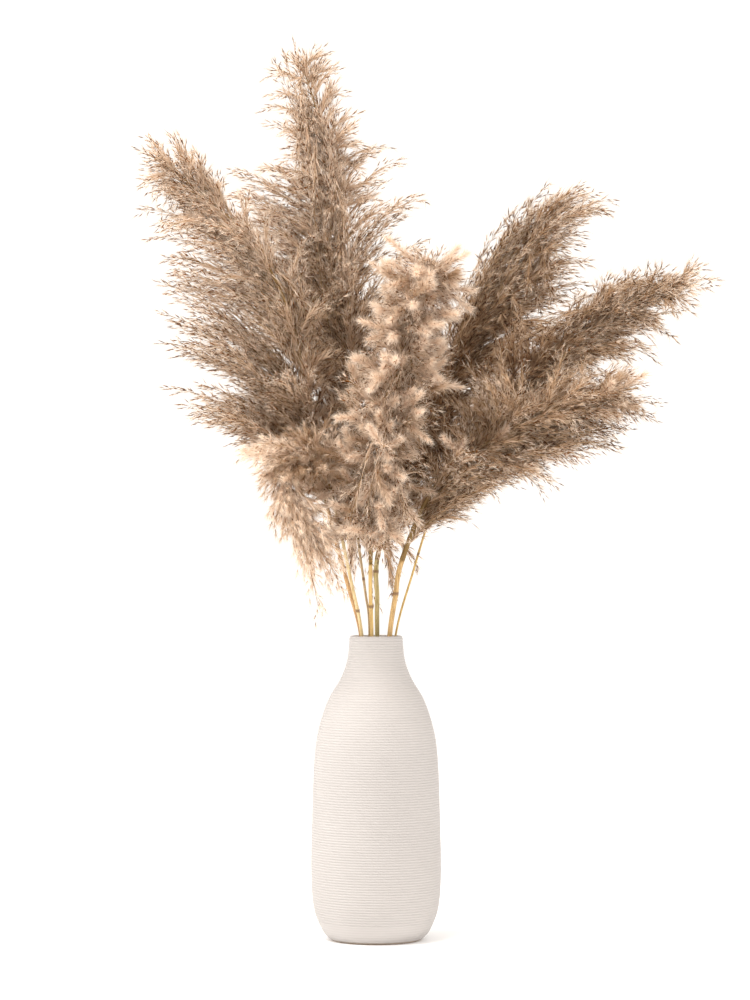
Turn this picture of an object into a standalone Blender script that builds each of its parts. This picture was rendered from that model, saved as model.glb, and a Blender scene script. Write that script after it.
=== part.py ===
"""A tall ribbed ceramic bottle vase holding seven reeds of dried pampas grass.

Lengths are in metres and +Z is up. The vase stands on z = 0 with its middle on the Z axis, and
the arrangement faces -Y. Each reed is a bare stem that stands in the vase, and a plume: a rachis
with sprays along it, and barbs along each spray.
"""
import math
import random

import bmesh
import bpy
from mathutils import Matrix, Vector, geometry

# Vase
VASE_HEIGHT = 0.280
VASE_OUTLINE = [
    (0.0000, 0.0410),
    (0.0030, 0.0447),
    (0.0090, 0.0496),
    (0.0280, 0.0572),
    (0.0600, 0.0600),
    (0.1100, 0.0592),
    (0.1650, 0.0572),
    (0.1930, 0.0535),
    (0.2210, 0.0443),
    (0.2410, 0.0327),
    (0.2580, 0.0267),
    (0.2800, 0.0244),
]
VASE_WALL = 0.0048
VASE_FLOOR = 0.0070
VASE_STEPS = 24
INNER_POINTS = 10
RIB_PITCH = 0.0119
RIB_DEPTH = 0.0007
RIBS_START = 0.0160

# Reeds
GAP = 0.0003
NECK = 0.004
SPAN_STEPS = 10
STEM_STEPS = 12
STEM_KNOT_SPACING = 0.085
STEM_KNOT_SWELLING = 0.28
RACHIS_STEPS = 12
RACHIS_TIP_GIRTH = 0.0012
SPRAY_ROOT_GIRTH = 0.0007
SPRAY_GIRTHS = (0.0030, 0.0014)
COLLAR_SPACING = 0.028
FEWEST_COLLARS = 3
MOST_COLLARS = 6
FIRST_COLLAR = 0.16
LAST_COLLAR = 0.90
COLLAR_LENGTH = 0.0034
COLLAR_TWIST = math.radians(20)
BARB_LENGTH = 0.040
BARB_LENGTH_AT_TIP = 0.014
FILL_SPRAYS = 4
FILL_LENGTH = 0.095
LEAVING_ANGLE = math.radians(38)
ROOT_SPACING = 0.026
ROOT_LENGTH = 0.020
LEAVING_SPREAD = 0.55
CLEARANCE = 0.0008
CELL = 0.0085
SAMPLE_SPACING = 0.002
SWINGS = [0, 14, -14, 28, -28, 45, -45, 65, -65, 90, -90, 120, -120, 160]

# The reeds, with points in centimetres. A stem's points run from the vase's floor past the rim
# to the first spray, and the rachis goes on from there to the plume's tip. The tips are those of
# the sprays that shape the plume's outline.
CM = 0.01
REEDS = [
    dict(
        name="left", girth=0.21,
        stem=[
            (-2.6, 1.2, 0.75), (-1.5, 1.1, 12.0), (-0.75, 0.8, 21.0), (-1.38, 0.6, 28.0),
            (-2.7, 0.8, 33.0), (-4.5, 1.2, 39.8),
        ],
        rachis=[
            (-5.3, 0.8, 44.0), (-6.4, 0.0, 50.0), (-7.4, -1.0, 55.8), (-9.4, -1.6, 61.0),
            (-12.8, -2.0, 65.6), (-16.6, -2.0, 69.2), (-20.3, -2.0, 71.8),
        ],
        tips=[
            (-22.0, -2.5, 73.3), (-20.9, -1.0, 74.2), (-18.6, -3.0, 74.4), (-16.6, -1.0, 73.0),
            (-14.8, -3.0, 70.6), (-12.4, 0.0, 68.6), (-21.7, -3.5, 69.8), (-22.1, 0.0, 67.8),
            (-21.0, -3.0, 65.0), (-18.8, 1.0, 61.9), (-19.6, -4.0, 58.0), (-18.2, -1.0, 55.2),
            (-19.4, -3.0, 51.4), (-15.8, 2.0, 51.2), (-16.6, -4.0, 48.9), (-13.2, 0.0, 47.6),
            (-3.2, 1.0, 50.0), (-3.8, -2.0, 54.8), (-4.2, 2.0, 60.2), (-6.6, 1.0, 65.0),
            (-20.2, -1.0, 61.0),
        ],
    ),
    dict(
        name="nodding", girth=0.17,
        stem=[
            (-2.5, -1.6, 0.75), (-1.5, -1.2, 12.0), (-0.95, -0.9, 21.0), (-1.3, -0.7, 28.0),
            (-2.4, -1.0, 33.5), (-3.7, -1.4, 39.6),
        ],
        rachis=[
            (-4.5, -2.3, 42.4), (-5.5, -3.5, 44.2), (-7.0, -4.6, 44.4), (-8.3, -5.3, 42.6),
            (-8.9, -5.6, 39.8),
        ],
        tips=[
            (-10.2, -5.0, 42.2), (-9.4, -6.3, 38.8), (-7.2, -4.2, 38.0), (-5.8, -7.0, 37.0),
            (-5.4, -5.0, 35.4), (-4.0, -3.5, 32.4), (-5.0, -6.0, 29.8), (-2.6, -4.5, 31.8),
            (-2.6, -6.5, 34.6), (-4.4, -7.5, 38.0), (-9.2, -8.0, 46.0), (-5.2, -6.5, 47.6),
            (-7.6, -1.0, 47.4), (-4.6, -4.0, 35.8), (-2.0, -4.0, 36.6),
        ],
    ),
    dict(
        name="top", girth=0.13,
        stem=[
            (-1.0, 2.4, 0.75), (-0.8, 1.8, 15.0), (-0.6, 1.2, 28.0), (-1.0, 1.6, 32.0),
            (-1.6, 2.2, 36.4),
        ],
        rachis=[
            (-2.0, 2.9, 42.0), (-2.2, 3.6, 48.0), (-2.4, 4.2, 55.0), (-2.9, 4.6, 62.0),
            (-3.7, 4.8, 69.0), (-5.0, 4.6, 75.0), (-7.0, 4.2, 81.5),
        ],
        tips=[
            (-7.8, 4.0, 83.6), (-5.0, 5.0, 82.6), (-3.9, 4.0, 81.4), (-10.4, 5.0, 80.8),
            (-10.6, 3.0, 77.4), (-3.1, 6.0, 79.4), (-1.9, 3.5, 76.0), (-8.8, 5.5, 75.6),
            (-1.6, 6.0, 72.2), (0.9, 5.0, 74.2), (2.4, 6.0, 73.0), (-13.4, 3.0, 72.0),
            (-13.7, 6.0, 69.8), (-12.2, 2.0, 68.2), (3.8, 4.0, 69.8), (4.2, 5.0, 65.4),
            (-9.0, 7.0, 63.0), (-2.6, 4.0, 31.6), (0.2, 4.4, 30.8), (-7.6, 6.0, 56.6),
            (-6.2, 7.0, 50.4), (3.4, 6.0, 55.0), (3.8, 6.0, 60.4), (-11.0, 5.0, 64.6),
            (-9.8, 3.5, 60.4), (1.5, 3.0, 68.6), (1.6, 5.0, 65.6), (-6.4, 3.0, 67.6),
            (-10.5, 4.0, 72.2),
        ],
    ),
    dict(
        name="front", girth=0.2,
        stem=[
            (-0.6, -2.2, 0.75), (-0.3, -1.8, 15.0), (-0.4, -1.2, 28.0), (-0.5, -1.3, 31.5),
            (-0.5, -1.6, 35.0),
        ],
        rachis=[
            (-0.2, -3.6, 41.0), (0.9, -6.0, 48.0), (2.6, -7.6, 54.6), (4.1, -8.4, 59.4),
            (5.2, -8.6, 62.0),
        ],
        tips=[
            (5.8, -9.0, 63.4), (4.0, -8.0, 62.4), (8.4, -8.2, 61.6), (2.5, -8.6, 60.6),
            (1.0, -8.6, 58.2), (7.2, -9.4, 58.0), (-0.8, -8.0, 54.6), (6.4, -8.8, 53.6),
            (-2.8, -7.0, 50.6), (5.4, -9.2, 49.4), (-4.2, -6.0, 45.8), (4.6, -7.8, 43.8),
            (-3.6, -4.4, 39.8), (3.0, -6.0, 39.4), (1.8, -7.0, 38.0), (-2.4, -6.6, 38.4),
        ],
    ),
    dict(
        name="upper_right", girth=0.24,
        stem=[
            (0.6, 0.8, 0.75), (0.3, 0.5, 15.0), (0.1, 0.2, 28.0), (0.1, 0.5, 31.5),
            (0.1, 0.9, 35.0),
        ],
        rachis=[
            (1.6, 2.2, 41.0), (5.0, 4.2, 48.5), (9.0, 5.8, 55.0), (12.4, 6.8, 61.0),
            (15.6, 7.2, 67.6),
        ],
        tips=[
            (12.6, 6.5, 67.6), (16.2, 7.0, 70.8), (14.8, 8.0, 69.0), (18.6, 6.5, 70.0),
            (21.2, 8.0, 69.9), (22.5, 6.0, 69.2), (11.4, 8.0, 64.0), (19.8, 9.0, 66.2),
            (19.9, 6.0, 63.6), (20.6, 7.5, 61.2), (18.4, 8.0, 59.8), (10.2, 6.0, 63.4),
            (15.4, 6.0, 54.6), (3.2, 6.0, 57.0), (2.0, 4.2, 31.6), (6.4, 5.0, 59.2),
            (12.0, 3.0, 49.6), (17.6, 5.0, 57.0), (8.8, 2.6, 47.0),
        ],
    ),
    dict(
        name="low_right", girth=0.26,
        stem=[
            (1.6, -1.5, 0.75), (1.0, -1.1, 15.0), (0.9, -0.8, 22.0), (1.25, -0.7, 28.0),
            (1.75, -1.0, 31.5), (2.4, -1.5, 35.0),
        ],
        rachis=[
            (5.2, -3.0, 41.4), (10.0, -5.0, 45.6), (15.2, -6.4, 48.2), (19.8, -7.0, 49.8),
            (23.6, -7.2, 50.6),
        ],
        tips=[
            (25.8, -7.0, 49.8), (24.6, -8.0, 51.6), (22.4, -6.0, 53.2), (25.0, -6.0, 48.0),
            (23.2, -8.5, 47.4), (21.4, -6.5, 45.8), (19.2, -8.0, 44.8), (16.2, -7.0, 42.0),
            (17.6, -5.0, 52.6), (13.4, -7.5, 43.2), (13.2, -8.5, 53.6), (11.4, -5.5, 42.6),
            (8.4, -7.0, 43.6), (9.4, -7.5, 50.4), (6.2, -3.0, 43.2), (6.6, -5.0, 51.4),
            (11.4, -5.0, 55.0), (8.2, -3.6, 54.6),
        ],
    ),
    dict(
        name="far_right", girth=0.11,
        stem=[
            (2.6, 0.9, 0.75), (1.6, 0.7, 12.0), (1.2, 0.55, 21.0), (1.8, 0.4, 28.0),
            (3.3, 0.4, 33.5), (5.4, 0.6, 39.8),
        ],
        rachis=[
            (9.0, 0.8, 46.0), (13.6, 0.8, 51.4), (18.8, 0.4, 55.8), (24.0, 0.0, 58.6),
            (29.6, -0.4, 61.3),
        ],
        tips=[
            (31.3, -0.4, 61.7), (29.2, 0.5, 62.2), (26.2, -1.0, 62.2), (22.4, 1.0, 61.2),
            (18.4, -1.0, 59.8), (28.6, -1.5, 59.0), (27.8, 0.5, 55.9), (25.8, -2.0, 54.2),
            (22.6, 0.5, 54.0), (18.6, 2.0, 51.0), (14.8, 3.0, 47.0), (12.6, -2.0, 57.6),
            (9.6, 2.5, 41.6),
        ],
    ),
]

# Colours and finishes
CERAMIC = dict(colour=(0.80, 0.76, 0.71, 1), roughness=0.55)
STRAW = dict(colour=(0.52, 0.33, 0.15, 1), roughness=0.60)
FLUFF = dict(colour=(0.44, 0.30, 0.21, 1), roughness=0.90)


def material(name, finish):
    surface = bpy.data.materials.new(name)
    surface.use_nodes = True
    shader = surface.node_tree.nodes["Principled BSDF"]
    shader.inputs["Base Color"].default_value = finish["colour"]
    shader.inputs["Roughness"].default_value = finish["roughness"]
    shader.inputs["Metallic"].default_value = 0
    return surface


def add(name, data, collection):
    thing = bpy.data.objects.new(name, data)
    collection.objects.link(thing)
    return thing


def as_mesh(thing):
    """Return the shape of an object with its modifiers applied."""
    graph = bpy.context.evaluated_depsgraph_get()
    return bpy.data.meshes.new_from_object(thing.evaluated_get(graph), depsgraph=graph)


def smooth_line(points, count):
    """Return evenly numbered points along a smooth line through the given ones."""
    spans = len(points) - 1
    line = []
    for n in range(count):
        span = min(int(n / (count - 1) * spans), spans - 1)
        t = n / (count - 1) * spans - span
        a, b = points[span], points[span + 1]
        before = points[span - 1] if span else 2 * a - b
        after = points[span + 2] if span + 2 <= spans else 2 * b - a
        line.append(
            (2 * t**3 - 3 * t**2 + 1) * a + (t**3 - 2 * t**2 + t) * (b - before) / 2
            + (3 * t**2 - 2 * t**3) * b + (t**3 - t**2) * (after - a) / 2
        )
    return line


def along(line, share):
    """Return the place and the heading at a share of a line of straight steps."""
    at = share * (len(line) - 1)
    n = min(int(at), len(line) - 2)
    return line[n].lerp(line[n + 1], at - n), (line[n + 1] - line[n]).normalized()


def outline_radius(z):
    """Return the vase's outer radius at a height, between the crests of its ribs."""
    knots = [Vector((level, radius, 0)) for level, radius in VASE_OUTLINE]
    for n in range(len(knots) - 1):
        if z <= knots[n + 1].x:
            break
    a, b = knots[n], knots[n + 1]
    before = knots[max(n - 1, 0)]
    after = knots[min(n + 2, len(knots) - 1)]
    t = (z - a.x) / (b.x - a.x)
    leave = (b.y - before.y) / (b.x - before.x) * (b.x - a.x)
    arrive = (after.y - a.y) / (after.x - a.x) * (b.x - a.x)
    return (
        (2 * t**3 - 3 * t**2 + 1) * a.y + (t**3 - 2 * t**2 + t) * leave
        + (3 * t**2 - 2 * t**3) * b.y + (t**3 - t**2) * arrive
    )


def make_vase(collection):
    """Turn the closed profile: up the inside, over the rim and down the ribbed outside."""
    profile = [(0, VASE_FLOOR)]
    lip = VASE_HEIGHT - 0.0012
    for n in range(INNER_POINTS):
        z = VASE_FLOOR + 0.004 + (lip - VASE_FLOOR - 0.004) * n / (INNER_POINTS - 1)
        if n == 0:
            profile.append((outline_radius(z) - VASE_WALL - 0.004, VASE_FLOOR))
        profile.append((outline_radius(z) - VASE_WALL, z))
    rim = outline_radius(VASE_HEIGHT)
    profile.append((rim - VASE_WALL + 0.0012, VASE_HEIGHT))
    profile.append((rim - 0.0012, VASE_HEIGHT))
    half_pitches = int((lip - RIBS_START) / (RIB_PITCH / 2))
    for n in range(half_pitches + 1):
        z = lip - n * RIB_PITCH / 2
        profile.append((outline_radius(z) - (RIB_DEPTH if n % 2 else 0), z))
    for z in (0.0090, 0.0030, 0):
        profile.append((outline_radius(z), z))
    profile.append((0, 0))

    mesh = bpy.data.meshes.new("vase")
    points = [(radius, 0, z) for radius, z in profile]
    mesh.from_pydata(points, [(n, n + 1) for n in range(len(points) - 1)], [])
    vase = add("vase", mesh, collection)
    turn = vase.modifiers.new("turn", "SCREW")
    turn.axis = "Z"
    turn.steps = VASE_STEPS
    turn.render_steps = VASE_STEPS
    turn.use_merge_vertices = True
    turn.merge_threshold = 0.00002
    turn.use_smooth_shade = True
    mesh.materials.append(material("white_ceramic", CERAMIC))
    return vase


def reed_lines(reed):
    """Return a reed's stem and its rachis, whose ends face each other squarely across a gap."""
    points = [CM * Vector(point) for point in reed["stem"] + reed["rachis"]]
    whole = smooth_line(points, SPAN_STEPS * (len(points) - 1) + 1)
    joint = SPAN_STEPS * (len(reed["stem"]) - 1)
    end = whole[joint]
    heading = (whole[joint + 1] - whole[joint - 1]).normalized()
    below, above = whole[:joint + 1], whole[joint:]
    stem = [along(below, n / STEM_STEPS)[0] for n in range(STEM_STEPS)]
    rachis = [along(above, n / RACHIS_STEPS)[0] for n in range(1, RACHIS_STEPS + 1)]
    stem += [end - NECK * heading, end]
    rachis = [end + GAP * heading, end + (GAP + NECK) * heading] + rachis
    return stem, rachis


def make_stem(reed, collection):
    """Sweep a culm with swollen knots along its line, from the vase's floor to the plume."""
    line = reed_lines(reed)[0]
    curve = bpy.data.curves.new("stem_" + reed["name"], "CURVE")
    curve.dimensions = "3D"
    curve.bevel_depth = CM * reed["girth"]
    curve.bevel_resolution = 1
    curve.use_fill_caps = True
    spline = curve.splines.new("POLY")
    spline.points.add(len(line) - 1)
    for n, place in enumerate(line):
        knot = (place.z / STEM_KNOT_SPACING) % 1
        swelling = STEM_KNOT_SWELLING * max(0, 1 - 4 * min(knot, 1 - knot))
        spline.points[n].co = (*place, 1)
        spline.points[n].radius = 0.9 + swelling if 0 < n < STEM_STEPS else 0.9
    curve.materials.append(material("straw_" + reed["name"], STRAW))
    add(curve.name, curve, collection)


def root_shares(rachis, tips):
    """Return each tip with the share of the rachis where its spray leaves, in their order.

    A spray leaves where it makes a natural angle with the rachis, a little above the one below.
    """

    def misfit(share, tip):
        place, heading = along(rachis, share)
        return abs(heading.angle(tip - place) - LEAVING_ANGLE)

    shares = [0.10 + 0.86 * n / 60 for n in range(61)]
    wanted = sorted((min(shares, key=lambda share: misfit(share, tip)), n) for n, tip in enumerate(tips))
    spaced = []
    share = 0
    for n, (wish, index) in enumerate(wanted):
        latest = 0.98 - ROOT_SPACING * (len(wanted) - 1 - n)
        share = min(max(wish, share + ROOT_SPACING), latest)
        spaced.append((share, tips[index]))
    return spaced


def spray_line(rachis, share, tip):
    """Return a spray's points, from its root on the rachis past its collars to its tip."""
    place, heading = along(rachis, share)
    reach = (tip - place).length
    aside = (tip - place) - (tip - place).project(heading)
    leaving = place + 0.35 * reach * (heading + LEAVING_SPREAD * aside.normalized()).normalized()
    sag = (tip - place).normalized() + Vector((0, 0, -0.45))
    arriving = tip - 0.30 * reach * sag.normalized()
    fine = geometry.interpolate_bezier(place, leaving, arriving, tip, 25)
    line = [place]
    count = min(max(round(reach / COLLAR_SPACING), FEWEST_COLLARS), MOST_COLLARS)
    for collar in range(count):
        share = FIRST_COLLAR + (LAST_COLLAR - FIRST_COLLAR) * collar / (count - 1)
        at = share * (len(fine) - 1)
        n = int(at)
        start = fine[n].lerp(fine[n + 1], at - n)
        line += [start, start + COLLAR_LENGTH * (fine[n + 1] - fine[n]).normalized()]
    return line + [tip]


def fill_tips(rachis, dice):
    """Return tips for sprays that fill out the plume towards its front and its back."""
    tips = []
    for n in range(FILL_SPRAYS):
        place, heading = along(rachis, 0.08 + 0.80 * n / FILL_SPRAYS)
        side = Vector((0, -1 if n % 2 else 1, 0))
        side.rotate(Matrix.Rotation(math.radians(dice.uniform(-50, 50)), 3, heading))
        side = (side - side.project(heading)).normalized()
        reach = FILL_LENGTH * (1 - 0.45 * n / FILL_SPRAYS) * dice.uniform(0.85, 1.1)
        tips.append(place + reach * (0.72 * heading + 0.68 * side))
    return tips


def swung(line, heading, degrees):
    """Return the line turned about the rachis that it grows from."""
    turn = Matrix.Rotation(math.radians(degrees), 3, heading)
    return [line[0] + turn @ (point - line[0]) for point in line]


class Space:
    """Remembers where the reeds run, so that what grows later can pass clear of them."""

    def __init__(self):
        self.cells = {}

    def cell(self, point):
        return tuple(math.floor(value / CELL) for value in point)

    def samples(self, line, girths):
        """Return points close together along a line, each with the girth there."""
        found = []
        steps = len(line) - 1
        for n, (a, b) in enumerate(zip(line, line[1:])):
            parts = max(1, math.ceil((b - a).length / SAMPLE_SPACING))
            for part in range(parts + 1):
                share = (n + part / parts) / steps
                found.append((a.lerp(b, part / parts), girths[0] + (girths[1] - girths[0]) * share))
        return found

    def add(self, line, girths, owner):
        for point, girth in self.samples(line, girths):
            self.cells.setdefault(self.cell(point), []).append((point, girth, owner))

    def near(self, point):
        x, y, z = self.cell(point)
        for dx in (-1, 0, 1):
            for dy in (-1, 0, 1):
                for dz in (-1, 0, 1):
                    yield from self.cells.get((x + dx, y + dy, z + dz), ())

    def is_clear(self, line, girths, owner, root_length):
        """Tell whether a twig keeps clear of the vase, of other reeds and of its own reed's twigs.

        An owner is a pair: the piece's name and the number of the twig in it. Within the root
        length a twig may touch others of its own reed.
        """
        for point, girth in self.samples(line, girths):
            if point.z < VASE_HEIGHT + 0.006 and math.hypot(point.x, point.y) < 0.034:
                return False
            in_root = (point - line[0]).length < root_length
            for place, other_girth, other in self.near(point):
                if other == owner or (in_root and other[0] == owner[0]):
                    continue
                if (place - point).length < girth + other_girth + CLEARANCE:
                    return False
        return True


def raise_barbs(shape, spray_tip, owner, space, dice):
    """Draw the faces of a spray's collars out into barbs that lean towards its tip."""
    for face in list(shape.faces):
        if len(face.verts) != 4 or max(edge.calc_length() for edge in face.edges) > 2 * COLLAR_LENGTH:
            continue
        ends = sorted(face.verts, key=lambda vert: vert.index)
        heading = (ends[2].co + ends[3].co - ends[0].co - ends[1].co).normalized()
        lean = math.radians(dice.uniform(29, 42))
        outwards = math.cos(lean) * heading + math.sin(lean) * face.normal + Vector((0, 0, -0.12))
        root = face.calc_center_median()
        longest = min(BARB_LENGTH, BARB_LENGTH_AT_TIP + (spray_tip - root).length / 2)
        tip = root + longest * dice.uniform(0.75, 1.1) * outwards.normalized()
        girths = (COLLAR_LENGTH / 2, 0)
        if space.is_clear([root, tip], girths, owner, 0):
            poked = bmesh.ops.poke(shape, faces=[face])
            poked["verts"][0].co = tip
            space.add([root, tip], girths, owner)


def needle_profile(collection):
    """Draw the three-sided outline that every part of a plume is swept with."""
    curve = bpy.data.curves.new("needle_profile", "CURVE")
    spline = curve.splines.new("POLY")
    spline.points.add(2)
    for n in range(3):
        angle = n * math.tau / 3
        spline.points[n].co = (math.cos(angle), math.sin(angle), 0, 1)
    spline.use_cyclic_u = True
    guide = add("needle_profile", curve, collection)
    guide.hide_render = True
    guide.display_type = "WIRE"
    return guide


def islands_of(shape):
    """Return the groups of vertices that hang together."""
    seen = set()
    islands = []
    for start in shape.verts:
        if start in seen:
            continue
        island = [start]
        seen.add(start)
        for vert in island:
            for edge in vert.link_edges:
                other = edge.other_vert(vert)
                if other not in seen:
                    seen.add(other)
                    island.append(other)
        islands.append(island)
    return islands


def rachis_mesh(line, girth):
    """Sweep a round tube along the rachis, thinner towards its tip."""
    curve = bpy.data.curves.new("rachis", "CURVE")
    curve.dimensions = "3D"
    curve.bevel_depth = 1
    curve.bevel_resolution = 1
    curve.use_fill_caps = True
    spline = curve.splines.new("POLY")
    spline.points.add(len(line) - 1)
    for n, point in enumerate(line):
        spline.points[n].co = (*point, 1)
        spline.points[n].radius = girth + (RACHIS_TIP_GIRTH - girth) * n / (len(line) - 1)
    return swept_mesh(curve)


def spray_mesh(line, roll, profile):
    """Sweep the three-sided profile along a spray, turning it from one collar to the next."""
    curve = bpy.data.curves.new("spray", "CURVE")
    curve.dimensions = "3D"
    curve.bevel_mode = "OBJECT"
    curve.bevel_object = profile
    curve.use_fill_caps = True
    spline = curve.splines.new("POLY")
    spline.points.add(len(line) - 1)
    for n, point in enumerate(line):
        share = n / (len(line) - 1)
        girth = SPRAY_GIRTHS[0] + (SPRAY_GIRTHS[1] - SPRAY_GIRTHS[0]) * share
        spline.points[n].co = (*point, 1)
        spline.points[n].radius = girth if n else SPRAY_ROOT_GIRTH
        spline.points[n].tilt = roll + COLLAR_TWIST * ((n + 1) // 2)
    return swept_mesh(curve)


def swept_mesh(curve):
    """Return a curve's tube as an editable mesh, its end caps welded on."""
    twig = add("twig", curve, bpy.context.scene.collection)
    shape = bmesh.new()
    shape.from_mesh(as_mesh(twig))
    bpy.data.objects.remove(twig)
    bmesh.ops.remove_doubles(shape, verts=shape.verts, dist=0.00002)
    bmesh.ops.recalc_face_normals(shape, faces=shape.faces)
    shape.verts.index_update()
    return shape


def fuse(name, meshes, collection):
    """Join the meshes to the first one, and keep the largest body that this gives."""
    loose = bpy.data.collections.new(name + "_sprays")
    bpy.context.scene.collection.children.link(loose)
    body = add(name, meshes[0], collection)
    for mesh in meshes[1:]:
        add(name + "_spray", mesh, loose)
    union = body.modifiers.new("union", "BOOLEAN")
    union.operation = "UNION"
    union.operand_type = "COLLECTION"
    union.collection = loose
    union.solver = "MANIFOLD"
    body.data = as_mesh(body)
    body.modifiers.clear()
    for spray in list(loose.objects):
        bpy.data.objects.remove(spray)
    bpy.data.collections.remove(loose)

    shape = bmesh.new()
    shape.from_mesh(body.data)
    for island in sorted(islands_of(shape), key=len)[:-1]:
        bmesh.ops.delete(shape, geom=island, context="VERTS")
    shape.to_mesh(body.data)
    shape.free()
    return body


def make_plume(reed, space, profile, collection):
    """Grow a plume: its rachis, its sprays and their barbs, clear of one another."""
    name = "plume_" + reed["name"]
    dice = random.Random(reed["name"])
    rachis = reed_lines(reed)[1]
    sprays = []
    tips = [CM * Vector(tip) for tip in reed["tips"]] + fill_tips(rachis, dice)
    for share, tip in root_shares(rachis, tips):
        spray = spray_line(rachis, share, tip)
        heading = (spray[1] - spray[0]).normalized()
        for degrees in SWINGS:
            turned = swung(spray, heading, degrees)
            owner = (name, len(sprays))
            if space.is_clear(turned, SPRAY_GIRTHS, owner, ROOT_LENGTH):
                space.add(turned, SPRAY_GIRTHS, owner)
                sprays.append(turned)
                break

    shapes = [rachis_mesh(rachis, CM * reed["girth"])]
    for n, spray in enumerate(sprays):
        shape = spray_mesh(spray, dice.uniform(0, math.tau), profile)
        raise_barbs(shape, spray[-1], (name, n), space, dice)
        shapes.append(shape)
    meshes = []
    for shape in shapes:
        meshes.append(bpy.data.meshes.new(name))
        shape.to_mesh(meshes[-1])
        shape.free()
    plume = fuse(name, meshes, collection)
    plume.data.materials.clear()
    plume.data.materials.append(material("fluff_" + reed["name"], FLUFF))


def main():
    for thing in list(bpy.data.objects):
        bpy.data.objects.remove(thing)
    collection = bpy.data.collections.new("vase_of_pampas_grass")
    bpy.context.scene.collection.children.link(collection)
    guides = bpy.data.collections.new("guides")
    bpy.context.scene.collection.children.link(guides)
    profile = needle_profile(guides)
    make_vase(collection)

    space = Space()
    for reed in REEDS:
        make_stem(reed, collection)
        stem, rachis = reed_lines(reed)
        girth = CM * reed["girth"]
        space.add(stem, (1.2 * girth, 1.2 * girth), ("stem_" + reed["name"], None))
        space.add(rachis, (girth, RACHIS_TIP_GIRTH), ("plume_" + reed["name"], None))
    for reed in REEDS:
        make_plume(reed, space, profile, collection)


main()
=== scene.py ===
"""Dresses the vase of pampas grass: a finely ribbed vase, culms with knots, and plumes of spikelets
and silky hairs, on a pale floor in soft studio light.

Lengths are in metres and +Z is up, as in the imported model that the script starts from. A reed's
points are in centimetres.
"""

import math
import random

import bpy
import numpy as np
from mathutils import Matrix, Vector, geometry


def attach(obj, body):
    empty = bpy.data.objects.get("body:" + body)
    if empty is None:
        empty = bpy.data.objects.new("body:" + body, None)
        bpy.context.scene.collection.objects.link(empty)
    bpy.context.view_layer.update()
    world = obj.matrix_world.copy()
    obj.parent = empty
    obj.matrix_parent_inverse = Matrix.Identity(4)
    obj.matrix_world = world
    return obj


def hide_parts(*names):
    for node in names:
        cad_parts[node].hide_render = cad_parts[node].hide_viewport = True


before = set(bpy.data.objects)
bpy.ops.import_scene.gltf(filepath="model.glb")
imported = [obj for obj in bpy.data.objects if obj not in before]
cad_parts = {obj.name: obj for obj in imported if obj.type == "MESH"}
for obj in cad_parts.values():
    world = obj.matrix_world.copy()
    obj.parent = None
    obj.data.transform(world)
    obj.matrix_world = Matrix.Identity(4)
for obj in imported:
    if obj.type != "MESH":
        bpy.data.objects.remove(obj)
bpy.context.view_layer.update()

# Camera and floor
CAMERA_PLACE = (-0.001, -3.2, 0.405)
CAMERA_LENS = 125
FLOOR_SIZE = 14.0

# Vase
VASE_HEIGHT = 0.280
VASE_OUTLINE = [
    (0.0000, 0.0410), (0.0030, 0.0447), (0.0090, 0.0496), (0.0280, 0.0572), (0.0600, 0.0600),
    (0.1100, 0.0592), (0.1650, 0.0572), (0.1930, 0.0535), (0.2210, 0.0443), (0.2410, 0.0327),
    (0.2580, 0.0267), (0.2800, 0.0244),
]
VASE_WALL = 0.0048
VASE_FLOOR = 0.0070
VASE_SIDES = 64
RIDGE_PITCH = 0.00238
RIDGE_DEPTH = 0.00060
RIDGES_START = 0.0150
# The rows of a ridge: their share of the pitch below its top, and of the depth
RIDGE_ROWS = ((0.0, 1.0), (0.3, 0.05), (0.7, 0.05))
LIP = 0.0020
RIM_STEPS = 8
INNER_ROWS = 36
INNER_CORNER = 0.004
# Below the ridges the wall is plain down to the foot, whose rows are a height and an inset each
PLAIN_STEP = 0.0012
PLAIN_INSET = 0.00004
PLAIN_END = 0.0046
FOOT_ROWS = ((0.0034, 0), (0.0024, 0), (0.0016, 0.0001), (0.0009, 0.0004), (0.0004, 0.0009))

# Reeds
GAP = 0.0003
NECK = 0.004
SPAN_STEPS = 10
STEM_STEPS = 60
STEM_SIDES = 14
CULM_GIRTH = 0.9
KNOT_SPACING = 0.085
KNOT_SWELLING = 0.22
KNOT_LENGTH = 0.0022
RACHIS_STEPS = 12
RACHIS_TIP_GIRTH = 0.0012
FILL_SPRAYS = 4
FILL_LENGTH = 0.095
LEAVING_ANGLE = math.radians(38)
ROOT_SPACING = 0.026
LEAVING_SPREAD = 0.55
CM = 0.01

# The map that a plume's colours are read from. Across it the tone runs from dark to pale, and up it
# each kind of part has a stretch from root to tip.
BAKE_MAP = "OFBake"
KINDS = {"spikelet": (0.03, 0.29), "hair": (0.37, 0.63), "stalk": (0.71, 0.97)}
TONE_ENDS = (0.01, 0.99)
PART_TONES = (0.02, 0.98)
EDGE_TONE = 0.02

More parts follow.
